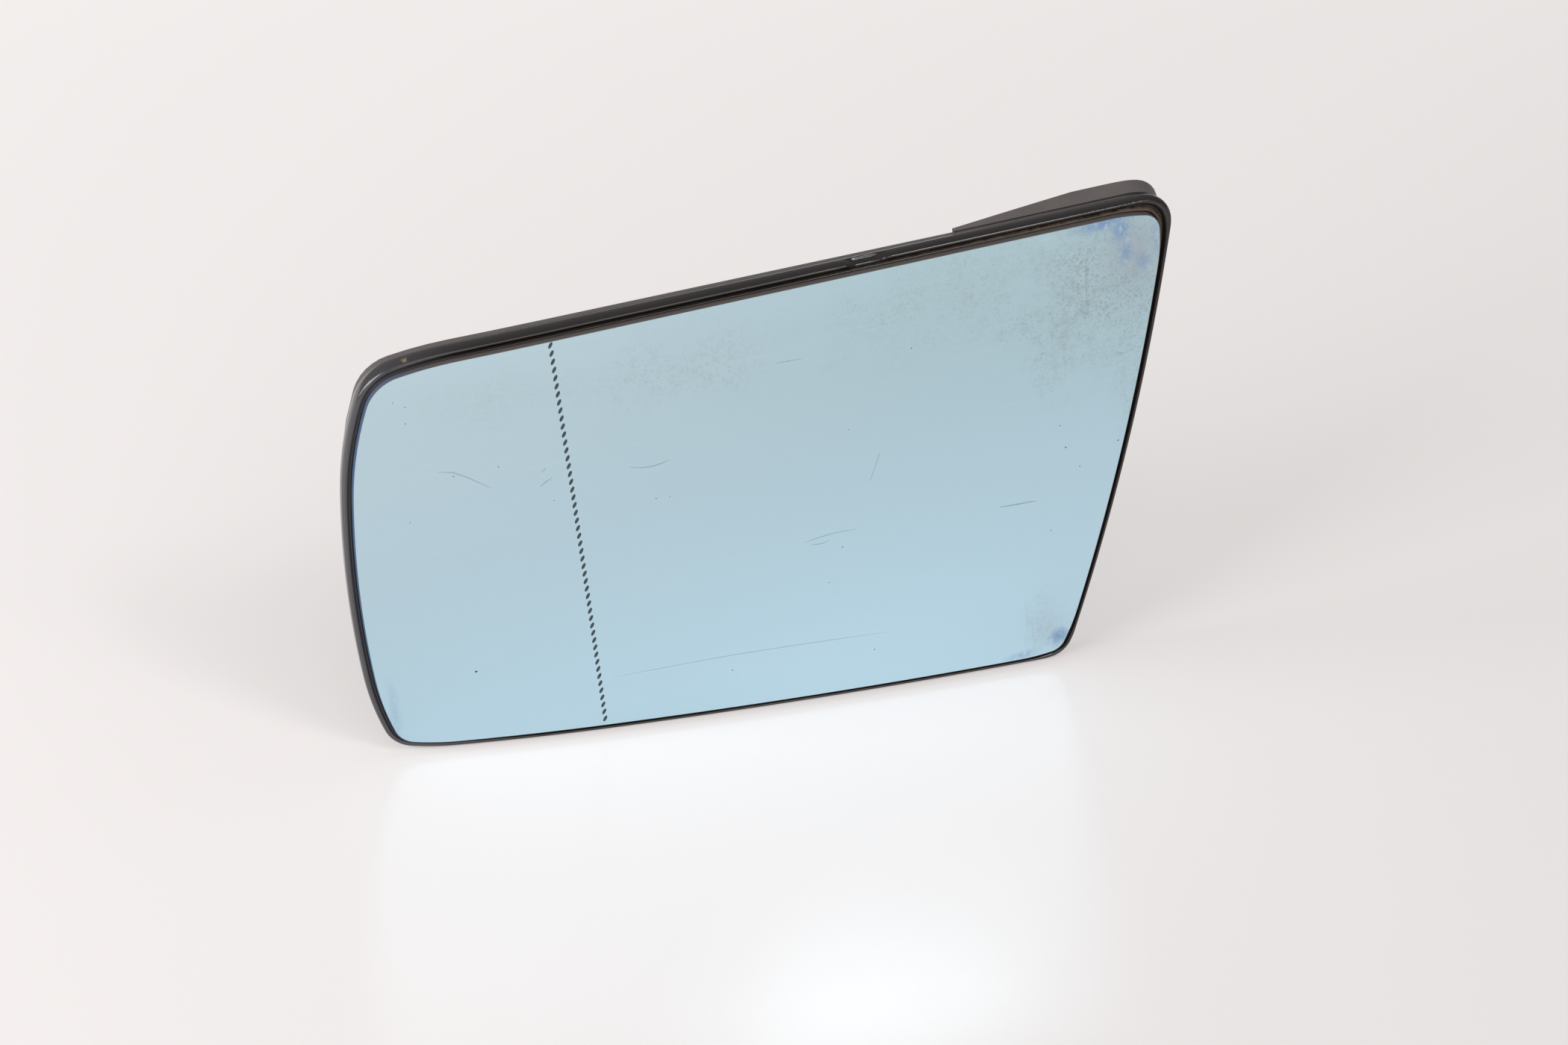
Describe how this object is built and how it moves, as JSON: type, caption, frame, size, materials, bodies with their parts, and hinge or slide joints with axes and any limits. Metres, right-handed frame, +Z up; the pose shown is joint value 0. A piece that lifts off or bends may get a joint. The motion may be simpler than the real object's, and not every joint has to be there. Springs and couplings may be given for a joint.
{
  "type": "car door mirror glass",
  "caption": "Heated aspheric mirror glass for a left-hand car door mirror, in a black rim on a moulded carrier plate with a deeper corner skirt and a round snap-in motor socket.",
  "frame": {"origin": "On the axis of the round motor socket, in the plane of the socket's mouth.", "axes": "+Y is the socket's axis and points out of its mouth, away from the glass, so the glass faces -Y. +Z is up as fitted on the car. +X points towards the car, along the long way of the glass."},
  "size_m": [0.1999, 0.0175, 0.1179],
  "materials": {
    "silvered_glass": "float glass bent to an aspheric shape, silvered on its back, blue tinted, edge ground",
    "heater_foil": "self-adhesive polyester heater foil, matte",
    "moulded_plate": "injection moulded, fine grained, faded to a brownish black on its side wall",
    "moulded_rim": "injection moulded, smooth and glossy black with grime in its groove",
    "spring_wire": "drawn spring steel wire, zinc plated",
    "tinned_brass": "stamped brass strip, tinned",
    "rivet_brass": "drawn brass tube, rolled over"
  },
  "bodies": {
    "root": {"mirror_glass": "silvered_glass", "heater_pad": "heater_foil", "carrier_plate": "moulded_plate", "rim": "moulded_rim", "retaining_wire": "spring_wire", "terminal_upper": "tinned_brass", "terminal_lower": "tinned_brass", "terminal_rivets": "rivet_brass"}
  },
  "joints": []
}
